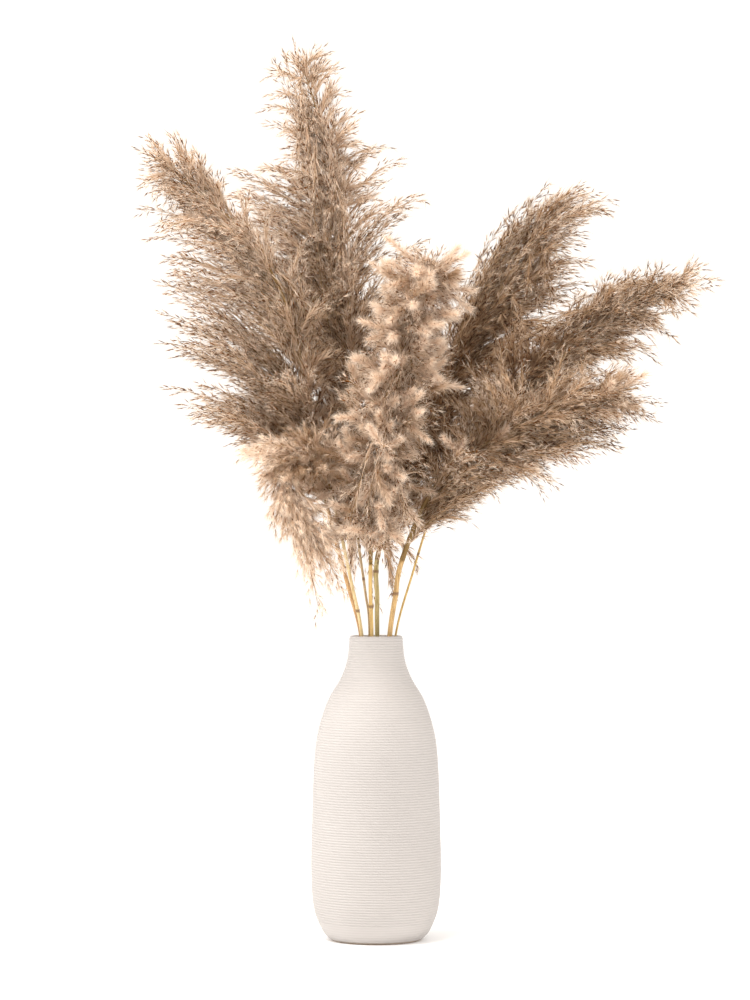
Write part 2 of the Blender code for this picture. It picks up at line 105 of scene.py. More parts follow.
# Sprays
FIRST_SEED = 100
RACHIS_POINTS = 30
RACHIS_SIDES = 7
RACHIS_TIP_SHARE = 0.6
RACHIS_TONE = 0.62
RACHIS_ENDS = (0.03, 0.97)
SPRAY_POINTS = 25
SPRAY_TONE_SPREAD = 0.11
TIP_ROOM = 0.012
STALK_STRIDE = 3
STALK_SIDES = 3
STALK_GIRTHS = (0.00055, 0.00016)
STALK_TONES = (0.2, 0.7)
REACH_POWER = 1.1
NEIGHBOURS = 4
MOST_MIX = 0.7
BETWEEN_REACHES = (0.50, 0.98)
SPRAY_STRAY = 0.0130
GOLDEN_ANGLE = math.radians(137.5)
SPRAYS_A_LOCK = 3
LOCK_WIDTH = 0.0080
LOCK_SAG = 0.12
LOCK_REACHES = (0.6, 1.0)
LOCK_SHORTENING = 0.6
LOCK_TONE_SPREAD = 0.10
LOCK_ROOT_STRAY = 0.02
INNER_SPAN = (-0.08, 0.42)
INNER_STRAYS = ((-1.1, 1.1), (-0.6, 0.6), (-0.3, 0.2))
INNER_LENGTHS = (0.045, 0.085)
# Inner sprays and fill sprays are darker: painted shade inside the bouquet
INNER_SHADE = -0.20
SPRAYS_A_FILL = 7
FILL_STRAY = 1.8
FILL_SHADE = -0.06
FILL_TONE_SPREAD = 0.08

# Shade inside the bouquet: the middle and the reach of each core, and waves that make paler and
# darker clumps, each with its way and its shift
CORES = [
    ((0.040, 0.015, 0.515), (0.125, 0.065, 0.125)),
    ((-0.045, 0.010, 0.520), (0.040, 0.060, 0.065)),
    ((-0.060, -0.020, 0.450), (0.035, 0.080, 0.042)),
]
CORE_SHADE = 0.55
PATCH_TONE = 0.12
PATCH_SIZE = 0.052
PATCH_WAVES = [
    ((0.9, 0.5, 0.2), 0.4), ((-0.4, 0.6, 0.8), 2.1), ((0.5, -0.7, 0.7), 4.0), ((0.2, 0.3, -1.2), 1.3),
]

# Branchlets: their shares of a spray, and how they lean and bend
FIRST_BRANCHLET = 0.06
LAST_BRANCHLET = 0.99
BRANCHLET_ENDS = (0.05, 0.995)
BRANCHLET_SPACING = 0.0060
FEWEST_BRANCHLETS = 6
BRANCHLET_STRAY = 0.4
# Along a spray the tone rises: painted light towards its tip and painted shade towards the rachis
SPRAY_PAINTED_LIGHT = 0.30
SPRAY_MIDDLE = 0.60
LEAN_LOSS = 12
LEAN_SPREAD = 6
BRANCHLET_LENGTH = 0.021
BRANCHLET_LENGTH_LOSS = 0.013
BRANCHLET_SIZES = (0.7, 1.2)
BEND_BACK = 0.30
BEND_DOWN = 0.22
THREAD_GIRTH = 0.00011

# Spikelets
SPIKELETS_A_BRANCHLET = 3
FIRST_SPIKELET = 0.25
SPIKELET_LENGTHS = (0.0062, 0.0090)
SPIKELET_WIDTHS = (0.0009, 0.0013)
SPIKELET_WAIST = 0.38
SPIKELET_LIFT = 0.3
SPIKELET_TURN = 0.42
SPIKELET_STRAY = 0.14
SPIKELET_FOOT = 0.0015
SPIKELET_TONE_SPREAD = 0.13
SPIKELET_SHADE = 0.26
SMALL_SPIKELETS = 0.85

# Hairs
HAIR_LENGTHS = (0.0048, 0.0104)
HAIR_WIDTHS = (0.00032, 0.00058)
HAIR_SAG = 0.05
HAIR_FOOT = 0.005
HAIR_PALING = 0.16
HAIR_TONE_SPREAD = 0.10
BARE_FROM = 0.55
BARE_OVER = 0.4

# Puffs of hair
TUFT_LENGTHS = (0.018, 0.042)
TUFT_STRAY = 0.65
TUFT_LIFT = 0.1
TUFT_BOW = 0.006
TUFT_FILLING = (1.4, 1.1)
TUFT_LEANS = (0.10, 0.95)
TUFT_FOOT = 0.003
TUFT_TONE_SPREAD = 0.15
TUFT_HAIR_TONE_SPREAD = 0.09
# A puff is painted darker at its foot and paler at its tip: painted shade and a painted highlight
TUFT_PAINTED_LIGHT = 0.40
TUFT_MIDDLE = 0.62
TUFT_TONES = (0.02, 0.93)
HAIRS_A_TUFT = 420
TUFT_HAIR_LENGTHS = (0.006, 0.0135)
SPIKELETS_A_TUFT = 16
TUFT_SPIKELET_SHADE = 0.15
TUFT_SPIKELET_SIZE = 0.8

# Strands that close a plume's inside, darker as painted shade
STRANDS_A_SPRAY = 45
STRAND_SPAN = (0.04, 0.80)
STRAND_LENGTHS = (0.012, 0.020)
STRAND_WIDTHS = (0.0009, 0.0015)
STRAND_LEAN = 0.42
STRAND_LEANS = (0.3, 1.0)
STRAND_SAG = 0.002
STRAND_SHADE = 0.16
STRAND_TONE_SPREAD = 0.08

REEDS = [
    dict(
        name="left", girth=0.21,
        stem=[
            (-2.6, 1.2, 0.75), (-1.5, 1.1, 12.0), (-0.75, 0.8, 21.0), (-1.38, 0.6, 28.0),
            (-2.7, 0.8, 33.0), (-4.5, 1.2, 39.8),
        ],
        rachis=[
            (-5.3, 0.8, 44.0), (-6.4, 0.0, 50.0), (-7.4, -1.0, 55.8), (-9.4, -1.6, 61.0),
            (-12.8, -2.0, 65.6), (-16.6, -2.0, 69.2), (-20.3, -2.0, 71.8),
        ],
        tips=[
            (-22.0, -2.5, 73.3), (-20.9, -1.0, 74.2), (-18.6, -3.0, 74.4), (-16.6, -1.0, 73.0),
            (-14.8, -3.0, 70.6), (-12.4, 0.0, 68.6), (-21.7, -3.5, 69.8), (-22.1, 0.0, 67.8),
            (-21.0, -3.0, 65.0), (-18.8, 1.0, 61.9), (-19.6, -4.0, 58.0), (-18.2, -1.0, 55.2),
            (-19.4, -3.0, 51.4), (-15.8, 2.0, 51.2), (-16.6, -4.0, 48.9), (-13.2, 0.0, 47.6),
            (-3.2, 1.0, 50.0), (-3.8, -2.0, 54.8), (-4.2, 2.0, 60.2), (-6.6, 1.0, 65.0),
            (-20.2, -1.0, 61.0),
        ],
    ),
    dict(
        name="nodding", girth=0.17,
        stem=[
            (-2.5, -1.6, 0.75), (-1.5, -1.2, 12.0), (-0.95, -0.9, 21.0), (-1.3, -0.7, 28.0),
            (-2.4, -1.0, 33.5), (-3.7, -1.4, 39.6),
        ],
        rachis=[
            (-4.5, -2.3, 42.4), (-5.5, -3.5, 44.2), (-7.0, -4.6, 44.4), (-8.3, -5.3, 42.6),
            (-8.9, -5.6, 39.8),
        ],
        tips=[
            (-10.2, -5.0, 42.2), (-9.4, -6.3, 38.8), (-7.2, -4.2, 38.0), (-5.8, -7.0, 37.0),
            (-5.4, -5.0, 35.4), (-4.0, -3.5, 32.4), (-5.0, -6.0, 29.8), (-2.6, -4.5, 31.8),
            (-2.6, -6.5, 34.6), (-4.4, -7.5, 38.0), (-9.2, -8.0, 46.0), (-5.2, -6.5, 47.6),
            (-7.6, -1.0, 47.4), (-4.6, -4.0, 35.8), (-2.0, -4.0, 36.6),
        ],
    ),
    dict(
        name="top", girth=0.13,
        stem=[
            (-1.0, 2.4, 0.75), (-0.8, 1.8, 15.0), (-0.6, 1.2, 28.0), (-1.0, 1.6, 32.0),
            (-1.6, 2.2, 36.4),
        ],
        rachis=[
            (-2.0, 2.9, 42.0), (-2.2, 3.6, 48.0), (-2.4, 4.2, 55.0), (-2.9, 4.6, 62.0),
            (-3.7, 4.8, 69.0), (-5.0, 4.6, 75.0), (-7.0, 4.2, 81.5),
        ],
        tips=[
            (-7.8, 4.0, 83.6), (-5.0, 5.0, 82.6), (-3.9, 4.0, 81.4), (-10.4, 5.0, 80.8),
            (-10.6, 3.0, 77.4), (-3.1, 6.0, 79.4), (-1.9, 3.5, 76.0), (-8.8, 5.5, 75.6),
            (-1.6, 6.0, 72.2), (0.9, 5.0, 74.2), (2.4, 6.0, 73.0), (-13.4, 3.0, 72.0),
            (-13.7, 6.0, 69.8), (-12.2, 2.0, 68.2), (3.8, 4.0, 69.8), (4.2, 5.0, 65.4),
            (-9.0, 7.0, 63.0), (-2.6, 4.0, 31.6), (0.2, 4.4, 30.8), (-7.6, 6.0, 56.6),
            (-6.2, 7.0, 50.4), (3.4, 6.0, 55.0), (3.8, 6.0, 60.4), (-11.0, 5.0, 64.6),
            (-9.8, 3.5, 60.4), (1.5, 3.0, 68.6), (1.6, 5.0, 65.6), (-6.4, 3.0, 67.6),
            (-10.5, 4.0, 72.2),
        ],
    ),
    dict(
        name="front", girth=0.2,
        stem=[
            (-0.6, -2.2, 0.75), (-0.3, -1.8, 15.0), (-0.4, -1.2, 28.0), (-0.5, -1.3, 31.5),
            (-0.5, -1.6, 35.0),
        ],
        rachis=[
            (-0.2, -3.6, 41.0), (0.9, -6.0, 48.0), (2.6, -7.6, 54.6), (4.1, -8.4, 59.4),
            (5.2, -8.6, 62.0),
        ],
        tips=[
            (5.8, -9.0, 63.4), (4.0, -8.0, 62.4), (8.4, -8.2, 61.6), (2.5, -8.6, 60.6),
            (1.0, -8.6, 58.2), (7.2, -9.4, 58.0), (-0.8, -8.0, 54.6), (6.4, -8.8, 53.6),
            (-2.8, -7.0, 50.6), (5.4, -9.2, 49.4), (-4.2, -6.0, 45.8), (4.6, -7.8, 43.8),
            (-3.6, -4.4, 39.8), (3.0, -6.0, 39.4), (1.8, -7.0, 38.0), (-2.4, -6.6, 38.4),
        ],
    ),
    dict(
        name="upper_right", girth=0.24,
        stem=[
            (0.6, 0.8, 0.75), (0.3, 0.5, 15.0), (0.1, 0.2, 28.0), (0.1, 0.5, 31.5),
            (0.1, 0.9, 35.0),
        ],
        rachis=[
            (1.6, 2.2, 41.0), (5.0, 4.2, 48.5), (9.0, 5.8, 55.0), (12.4, 6.8, 61.0),
            (15.6, 7.2, 67.6),
        ],
        tips=[
            (12.6, 6.5, 67.6), (16.2, 7.0, 70.8), (14.8, 8.0, 69.0), (18.6, 6.5, 70.0),
            (21.2, 8.0, 69.9), (22.5, 6.0, 69.2), (11.4, 8.0, 64.0), (19.8, 9.0, 66.2),
            (19.9, 6.0, 63.6), (20.6, 7.5, 61.2), (18.4, 8.0, 59.8), (10.2, 6.0, 63.4),
            (15.4, 6.0, 54.6), (3.2, 6.0, 57.0), (2.0, 4.2, 31.6), (6.4, 5.0, 59.2),
            (12.0, 3.0, 49.6), (17.6, 5.0, 57.0), (8.8, 2.6, 47.0),
        ],
    ),
    dict(
        name="low_right", girth=0.26,
        stem=[
            (1.6, -1.5, 0.75), (1.0, -1.1, 15.0), (0.9, -0.8, 22.0), (1.25, -0.7, 28.0),
            (1.75, -1.0, 31.5), (2.4, -1.5, 35.0),
        ],
        rachis=[
            (5.2, -3.0, 41.4), (10.0, -5.0, 45.6), (15.2, -6.4, 48.2), (19.8, -7.0, 49.8),
            (23.6, -7.2, 50.6),
        ],
        tips=[
            (25.8, -7.0, 49.8), (24.6, -8.0, 51.6), (22.4, -6.0, 53.2), (25.0, -6.0, 48.0),
            (23.2, -8.5, 47.4), (21.4, -6.5, 45.8), (19.2, -8.0, 44.8), (16.2, -7.0, 42.0),
            (17.6, -5.0, 52.6), (13.4, -7.5, 43.2), (13.2, -8.5, 53.6), (11.4, -5.5, 42.6),
            (8.4, -7.0, 43.6), (9.4, -7.5, 50.4), (6.2, -3.0, 43.2), (6.6, -5.0, 51.4),
            (11.4, -5.0, 55.0), (8.2, -3.6, 54.6),
        ],
    ),
    dict(
        name="far_right", girth=0.11,
        stem=[
            (2.6, 0.9, 0.75), (1.6, 0.7, 12.0), (1.2, 0.55, 21.0), (1.8, 0.4, 28.0),
            (3.3, 0.4, 33.5), (5.4, 0.6, 39.8),
        ],
        rachis=[
            (9.0, 0.8, 46.0), (13.6, 0.8, 51.4), (18.8, 0.4, 55.8), (24.0, 0.0, 58.6),
            (29.6, -0.4, 61.3),
        ],
        tips=[
            (31.3, -0.4, 61.7), (29.2, 0.5, 62.2), (26.2, -1.0, 62.2), (22.4, 1.0, 61.2),
            (18.4, -1.0, 59.8), (28.6, -1.5, 59.0), (27.8, 0.5, 55.9), (25.8, -2.0, 54.2),
            (22.6, 0.5, 54.0), (18.6, 2.0, 51.0), (14.8, 3.0, 47.0), (12.6, -2.0, 57.6),
            (9.6, 2.5, 41.6),
        ],
    ),
]

# How each reed looks:
# knot: the height of one of its culm's knots, in centimetres
# tone: how pale the plume is, from 0 to 1
# between: how many sprays stand between those that lead to the tips
# lean: the angle of a branchlet to the foot of its spray, in degrees
# fuzz, bareness: how far its hairs stray, and how many of them the tips of its sprays lack
# triangles: how many it has in all, which its hairs fill up
# locks, around, spread, sweep: how many locks of sprays stand round the rachis, their length in
# centimetres, their angle to it in degrees, and how far they turn towards +X
# first, last: the shares of the rachis where the locks begin and end
# tufts, puffs: how many puffs of hair it has, and the shares of a spray between which they sit
# inner, fills: how many sprays close it round its foot, and places in centimetres that get more
LOOKS = dict(
    left=dict(
        knot=36.2, tone=0.85, between=165, lean=27, fuzz=0.30, bareness=0.55, triangles=153000,
        locks=15, around=9.0, spread=25, sweep=-0.30, first=0.10, last=0.96, tufts=0,
        inner=30, fills=[(-5.0, 0.0, 55.0), (-6.0, 0.0, 58.0), (-7.0, 0.0, 53.0), (-5.2, 0.5, 50.8)],
    ),
    nodding=dict(
        knot=30.3, tone=0.90, between=28, lean=42, fuzz=0.32, bareness=0.55, triangles=62000,
        locks=9, around=3.0, spread=40, sweep=0.00, first=0.14, last=0.92,
        tufts=16, puffs=(0.45, 0.95), inner=0, fills=[],
    ),
    top=dict(
        knot=33.2, tone=0.86, between=180, lean=27, fuzz=0.30, bareness=0.15, triangles=166000,
        locks=16, around=7.5, spread=24, sweep=-0.15, first=0.14, last=0.92, tufts=0,
        inner=60, fills=[(-3.8, 1.5, 63.0), (-2.2, 2.0, 61.0), (-7.0, 3.0, 70.0)],
    ),
    front=dict(
        knot=30.7, tone=0.90, between=40, lean=36, fuzz=0.34, bareness=0.0, triangles=168000,
        locks=60, around=4.2, spread=62, sweep=0.00, first=0.14, last=0.94,
        tufts=180, puffs=(0.40, 0.85),
        inner=20, fills=[(0.5, -6.0, 37.8), (2.6, -6.0, 38.4), (-1.6, -5.4, 37.4)],
    ),
    upper_right=dict(
        knot=33.9, tone=0.68, between=150, lean=27, fuzz=0.28, bareness=0.5, triangles=142000,
        locks=15, around=8.5, spread=25, sweep=0.10, first=0.14, last=0.96, tufts=0,
        inner=60, fills=[(13.0, 5.0, 57.0), (14.0, 4.0, 55.0), (16.0, 4.0, 58.0)],
    ),
    low_right=dict(
        knot=31.9, tone=0.72, between=155, lean=27, fuzz=0.28, bareness=0.8, triangles=140000,
        locks=14, around=8.0, spread=27, sweep=0.00, first=0.34, last=0.90,
        tufts=24, puffs=(0.2, 0.55), inner=60, fills=[],
    ),
    far_right=dict(
        knot=35.5, tone=0.65, between=105, lean=27, fuzz=0.28, bareness=0.5, triangles=99000,
        locks=12, around=6.8, spread=24, sweep=0.00, first=0.14, last=0.96, tufts=0,
        inner=30, fills=[(13.0, 1.0, 54.5), (15.0, 0.0, 56.5), (17.2, -1.0, 58.2)],
    ),
)

# Colours of the culms: a light and a dark one for each reed
CULM_COLOURS = dict(
    left=("c9a06c", "9c7346"), nodding=("d8c294", "b59c68"), top=("c2a982", "937853"),
    front=("d0b070", "a8874c"), upper_right=("b9a674", "93834f"), low_right=("c9a66e", "9a7849"),
    far_right=("ccaa62", "a08246"),
)


def tint(code):
    """Return the linear colour of a hexadecimal screen colour."""
    parts = [int(code[n:n + 2], 16) / 255 for n in (0, 2, 4)]
    linear = [c / 12.92 if c <= 0.04045 else ((c + 0.055) / 1.055) ** 2.4 for c in parts]
    return (*linear, 1)


class Nodes:
    """Builds a material's nodes in few words."""

    def __init__(self, name):
        self.material = bpy.data.materials.new(name)
        self.material.use_nodes = True
        self.tree = self.material.node_tree
        self.shader = self.tree.nodes["Principled BSDF"]

    def node(self, kind, **settings):
        made = self.tree.nodes.new("ShaderNode" + kind)
        for key, value in settings.items():
            if key in made.inputs:
                made.inputs[key].default_value = value
            else:
                setattr(made, key, value)
        return made

    def link(self, a, b):
        self.tree.links.new(a, b)

    def ramp(self, value, stops):
        made = self.node("ValToRGB")
        elements = made.color_ramp.elements
        while len(elements) < len(stops):
            elements.new(0.5)
        for element, (place, colour) in zip(elements, stops):
            element.position = place
            element.color = tint(colour)
        self.link(value, made.inputs[0])
        return made.outputs["Color"]

    def noise(self, scale, stretch=(1, 1, 1), detail=3):
        place = self.node("TexCoord").outputs["Object"]
        mapping = self.node("Mapping")
        mapping.inputs["Scale"].default_value = stretch
        self.link(place, mapping.inputs["Vector"])
        made = self.node("TexNoise", Scale=scale, Detail=detail)
        self.link(mapping.outputs[0], made.inputs["Vector"])
        return made.outputs["Fac"]

    def bump(self, height, strength, distance):
        made = self.node("Bump", Strength=strength, Distance=distance)
        self.link(height, made.inputs["Height"])
        self.link(made.outputs[0], self.shader.inputs["Normal"])


def new_object(name, mesh, *materials):
    thing = bpy.data.objects.new(name, mesh)
    bpy.context.scene.collection.objects.link(thing)
    for material in materials:
        mesh.materials.append(material)
    return thing


def unit(vectors):
    return vectors / np.maximum(np.linalg.norm(vectors, axis=-1, keepdims=True), 1e-9)


def aside(heading, rng):
    """Return a random unit vector square to each heading."""
    return unit(np.cross(heading, rng.normal(size=heading.shape)))


class Mesh:
    """Gathers triangles with their places on the bake map."""

    def __init__(self):
        self.points = []
        self.faces = []
        self.places = []
        self.count = 0
        self.triangles = 0

    def add(self, points, faces, places):
        """Add n copies of a shape: points n x k x 3, faces m x 3 and places n x k x 2."""
        n, k = points.shape[:2]
        starts = self.count + k * np.arange(n)[:, None, None]
        self.points.append(points.reshape(-1, 3))
        self.places.append(places.reshape(-1, 2))
        self.faces.append((starts + np.array(faces)[None]).reshape(-1, 3))
        self.count += n * k
        self.triangles += n * len(faces)

    def build(self, name):
        points = np.concatenate(self.points).astype(np.float32)
        faces = np.concatenate(self.faces).astype(np.int32)
        places = np.concatenate(self.places).astype(np.float32)
        mesh = bpy.data.meshes.new(name)
        mesh.vertices.add(len(points))
        mesh.vertices.foreach_set("co", points.ravel())
        mesh.loops.add(3 * len(faces))
        mesh.loops.foreach_set("vertex_index", faces.ravel())
        mesh.polygons.add(len(faces))
        mesh.polygons.foreach_set("loop_start", np.arange(0, 3 * len(faces), 3, dtype=np.int32))
        layer = mesh.uv_layers.new(name=BAKE_MAP)
        layer.uv.foreach_set("vector", places[faces.ravel()].ravel())
        mesh.update(calc_edges=True)
        mesh.validate()
        return mesh


def place_of(kind, share):
    low, high = KINDS[kind]
    return low + (high - low) * share


def tube(mesh, line, girths, sides, tone):
    """Add a closed tube along a line of points, with the colours of a stalk."""
    line = np.array(line, float)
    headings = unit(np.gradient(line, axis=0))
    across = unit(np.cross(headings[0], (0.31, 0.17, 0.93)))
    turns = np.arange(sides) * math.tau / sides
    rings = []
    for place, heading, girth in zip(line, headings, girths):
        across = unit(across - heading * (across @ heading))
        up = np.cross(heading, across)
        rings.append(place + girth * (np.cos(turns)[:, None] * across + np.sin(turns)[:, None] * up))
    points = np.array(rings).reshape(1, -1, 3)
    faces = []
    last = sides * (len(line) - 1)
    for n in range(len(line) - 1):
        for m in range(sides):
            a, b = n * sides + m, n * sides + (m + 1) % sides
            faces += [(a, b, b + sides), (a, b + sides, a + sides)]
    for m in range(1, sides - 1):
        faces += [(0, m + 1, m), (last, last + m, last + m + 1)]
    share = np.repeat(np.linspace(0, 1, len(line)), sides)
    width = np.tile(0.015 * np.cos(turns), len(line))
    places = np.stack([np.clip(tone + width, *TONE_ENDS), place_of("stalk", share)], 1)
    mesh.add(points, faces, places[None])


def spikelets(mesh, roots, headings, rng, tones, scale):
    """Add closed slivers, widest a third of the way up."""
    count = len(roots)
    length = rng.uniform(*SPIKELET_LENGTHS, count)[:, None] * scale[:, None]
    width = rng.uniform(*SPIKELET_WIDTHS, count)[:, None] * np.minimum(scale, 1)[:, None]
    side = aside(headings, rng)
    lift = np.cross(headings, side)
    waist = roots + SPIKELET_WAIST * length * headings + SPIKELET_LIFT * width * lift
    points = np.stack(
        [roots, waist + width / 2 * side, waist - width / 2 * side, roots + length * headings], 1,
    )
    v = place_of("spikelet", np.array([0.0, SPIKELET_WAIST, SPIKELET_WAIST, 1.0]))
    u = np.clip(tones[:, None] + np.array([0, EDGE_TONE, -EDGE_TONE, 0]), *TONE_ENDS)
    places = np.stack([u, np.broadcast_to(v, u.shape)], 2)
    mesh.add(points, [(0, 2, 1), (3, 1, 2), (0, 1, 3), (0, 3, 2)], places)


def hairs(mesh, roots, headings, lengths, rng, tones):
    """Add hairs, each a blade that runs to a point."""
    count = len(roots)
    side = aside(headings, rng) * rng.uniform(*HAIR_WIDTHS, count)[:, None] / 2
    tips = roots + lengths[:, None] * headings
    points = np.stack([roots - side, roots + side, tips], 1)
    v = place_of("hair", np.array([0.0, 0.0, 1.0]))
    u = np.clip(tones[:, None] + np.array([-EDGE_TONE, EDGE_TONE, 0]), *TONE_ENDS)
    places = np.stack([u, np.broadcast_to(v, u.shape)], 2)
    mesh.add(points, [(0, 1, 2)], places)


def strands(mesh, lines, rng, tone):
    """Add broad strands along the inner part of each spray, which close the plume's inside in painted
    shade.
    """
    for points in lines:
        n = STRANDS_A_SPRAY
        at = rng.uniform(*STRAND_SPAN, n) * (SPRAY_POINTS - 1)
        low = at.astype(int)
        part = (at - low)[:, None]
        roots = points[low] * (1 - part) + points[low + 1] * part
        headings = unit(points[low + 1] - points[low])
        ways = unit(headings + STRAND_LEAN * aside(headings, rng) * rng.uniform(*STRAND_LEANS, (n, 1)))
        tips = roots + rng.uniform(*STRAND_LENGTHS, (n, 1)) * ways + np.array([0, 0, -STRAND_SAG])
        side = aside(ways, rng) * rng.uniform(*STRAND_WIDTHS, (n, 1)) / 2
        v = place_of("hair", np.array([0.0, 0.0, 0.55]))
        tones = rng.normal(tone, STRAND_TONE_SPREAD, (n, 1))
        u = np.clip(tones + np.array([-EDGE_TONE, EDGE_TONE, 0]), *TONE_ENDS)
        places = np.stack([u, np.broadcast_to(v, u.shape)], 2)
        mesh.add(np.stack([roots - side, roots + side, tips], 1), [(0, 1, 2)], places)


def smooth_line(points, count):
    """Return evenly numbered points along a smooth line through the given ones."""
    spans = len(points) - 1
    line = []
    for n in range(count):
        span = min(int(n / (count - 1) * spans), spans - 1)
        t = n / (count - 1) * spans - span
        a, b = points[span], points[span + 1]
        before = points[span - 1] if span else 2 * a - b
        after = points[span + 2] if span + 2 <= spans else 2 * b - a
        line.append(
            (2 * t**3 - 3 * t**2 + 1) * a + (t**3 - 2 * t**2 + t) * (b - before) / 2
            + (3 * t**2 - 2 * t**3) * b + (t**3 - t**2) * (after - a) / 2
        )
    return line


def along(line, share):
    """Return the place and the heading at a share of a line of straight steps."""
    at = share * (len(line) - 1)
    n = min(int(at), len(line) - 2)
    return line[n].lerp(line[n + 1], at - n), (line[n + 1] - line[n]).normalized()


def reed_lines(reed, stem_steps):
    """Return a reed's stem and its rachis, whose ends face each other squarely across a gap."""
    points = [CM * Vector(point) for point in reed["stem"] + reed["rachis"]]
    whole = smooth_line(points, SPAN_STEPS * (len(points) - 1) + 1)
    joint = SPAN_STEPS * (len(reed["stem"]) - 1)
    end = whole[joint]
    heading = (whole[joint + 1] - whole[joint - 1]).normalized()
    below, above = whole[:joint + 1], whole[joint:]
    stem = [along(below, n / stem_steps)[0] for n in range(stem_steps)]
    rachis = [along(above, n / RACHIS_STEPS)[0] for n in range(1, RACHIS_STEPS + 1)]
    stem += [end - NECK * heading, end]
    rachis = [end + GAP * heading, end + (GAP + NECK) * heading] + rachis
    return stem, rachis


def root_shares(rachis, tips):
    """Return each tip with the share of the rachis where its spray leaves, in their order."""

    def misfit(share, tip):
        place, heading = along(rachis, share)
        return abs(heading.angle(tip - place) - LEAVING_ANGLE)

    shares = [0.10 + 0.86 * n / 60 for n in range(61)]
    wanted = sorted((min(shares, key=lambda share: misfit(share, tip)), n) for n, tip in enumerate(tips))
    spaced = []
    share = 0
    for n, (wish, index) in enumerate(wanted):
        latest = 0.98 - ROOT_SPACING * (len(wanted) - 1 - n)
        share = min(max(wish, share + ROOT_SPACING), latest)
        spaced.append((share, tips[index]))
    return spaced


def spray_line(rachis, share, tip):
    """Return the points of a spray's curve, from its root on the rachis to its tip."""
    place, heading = along(rachis, share)
    tip = tip - min(TIP_ROOM, 0.3 * (tip - place).length) * (tip - place).normalized()
    reach = (tip - place).length
    outwards = (tip - place) - (tip - place).project(heading)
    leaving = place + 0.35 * reach * (heading + LEAVING_SPREAD * outwards.normalized()).normalized()
    sag = (tip - place).normalized() + Vector((0, 0, -0.45))
    arriving = tip - 0.30 * reach * sag.normalized()
    return geometry.interpolate_bezier(place, leaving, arriving, tip, SPRAY_POINTS)


def fill_tips(rachis, dice):
    """Return tips for sprays that fill out the plume towards its front and its back."""
    tips = []
    for n in range(FILL_SPRAYS):
        place, heading = along(rachis, 0.08 + 0.80 * n / FILL_SPRAYS)
        side = Vector((0, -1 if n % 2 else 1, 0))
        side.rotate(Matrix.Rotation(math.radians(dice.uniform(-50, 50)), 3, heading))
        side = (side - side.project(heading)).normalized()
        reach = FILL_LENGTH * (1 - 0.45 * n / FILL_SPRAYS) * dice.uniform(0.85, 1.1)
        tips.append(place + reach * (0.72 * heading + 0.68 * side))
    return tips


def on_rachis(share):
    """Keep a share of the rachis clear of both its ends."""
    return min(max(share, RACHIS_ENDS[0]), RACHIS_ENDS[1])


def sprays_between(rachis, roots, tones, count, dice):
    """Return sprays between neighbouring ones, each with a tone between theirs."""
    sprays = []
    reaches = [(tip - along(rachis, share)[0]).length ** REACH_POWER for share, tip in roots]
    for here in dice.choices(range(len(roots)), weights=reaches, k=count):
        share, tip = roots[here]
        near = sorted(range(len(roots)), key=lambda other: (roots[other][1] - tip).length)
        there = dice.choice(near[1:NEIGHBOURS + 1])
        mix = dice.uniform(0.0, MOST_MIX)
        share = on_rachis(share + (roots[there][0] - share) * mix)
        place = along(rachis, share)[0]
        stray = Vector([dice.uniform(-1, 1) for _ in range(3)]) * SPRAY_STRAY
        reach = dice.uniform(*BETWEEN_REACHES)
        end = place + (tip.lerp(roots[there][1], mix) - place) * reach + stray
        tone = tones[here] * (1 - mix) + tones[there] * mix
        sprays.append((spray_line(rachis, share, end), tone))
    return sprays


def locks_around(rachis, look, dice):
    """Return small locks of sprays that go round the rachis and hide it."""
    sprays = []
    wide = math.radians(look["spread"])
    drift = Vector((look["sweep"], 0, -LOCK_SAG))
    for n in range(look["locks"]):
        share = look["first"] + (look["last"] - look["first"]) * n / look["locks"]
        place, heading = along(rachis, share)
        side = heading.cross(Vector((0, 1, 0))).normalized()
        side.rotate(Matrix.Rotation(GOLDEN_ANGLE * n, 3, heading))
        way = (math.cos(wide) * heading + math.sin(wide) * side + drift).normalized()
        shortening = 1 - LOCK_SHORTENING * share ** 2
        end = place + CM * look["around"] * shortening * dice.uniform(*LOCK_REACHES) * way
        tone = dice.gauss(0, LOCK_TONE_SPREAD)
        for _ in range(SPRAYS_A_LOCK):
            stray = Vector([dice.uniform(-1, 1) for _ in range(3)]) * LOCK_WIDTH
            root = on_rachis(share + dice.uniform(-LOCK_ROOT_STRAY, LOCK_ROOT_STRAY))
            sprays.append((spray_line(rachis, root, end + stray), tone))
    return sprays


def inner_sprays(rachis, look, dice):
    """Return the darker sprays, painted shade, that close the bouquet's inside round the plume's foot
    and at its fills.
    """
    sprays = []
    for _ in range(look["inner"]):
        share = look["first"] + dice.uniform(*INNER_SPAN)
        place, heading = along(rachis, share)
        way = heading + Vector([dice.uniform(*ends) for ends in INNER_STRAYS])
        tip = place + dice.uniform(*INNER_LENGTHS) * way.normalized()
        sprays.append((spray_line(rachis, share, tip), dice.gauss(INNER_SHADE, FILL_TONE_SPREAD)))
    tips = []
    for place in look["fills"]:
        for _ in range(SPRAYS_A_FILL):
            stray = Vector([dice.uniform(-FILL_STRAY, FILL_STRAY) for _ in range(3)])
            tips.append(CM * (Vector(place) + stray))
    for share, tip in root_shares(rachis, tips):
        sprays.append((spray_line(rachis, share, tip), dice.gauss(FILL_SHADE, FILL_TONE_SPREAD)))
    return sprays


def plume_sprays(reed, look, rachis):
    """Return all the sprays of a plume, each an array of points with its tone."""
    dice = random.Random(reed["name"])
    tips = [CM * Vector(tip) for tip in reed["tips"]] + fill_tips(rachis, dice)
    roots = root_shares(rachis, tips)
    tones = [dice.gauss(0, SPRAY_TONE_SPREAD) for _ in roots]
    sprays = [(spray_line(rachis, share, tip), tone) for (share, tip), tone in zip(roots, tones)]
    sprays += sprays_between(rachis, roots, tones, look["between"], dice)
    sprays += locks_around(rachis, look, dice)
    sprays += inner_sprays(rachis, look, dice)
    return [(np.array([tuple(point) for point in line]), tone) for line, tone in sprays]


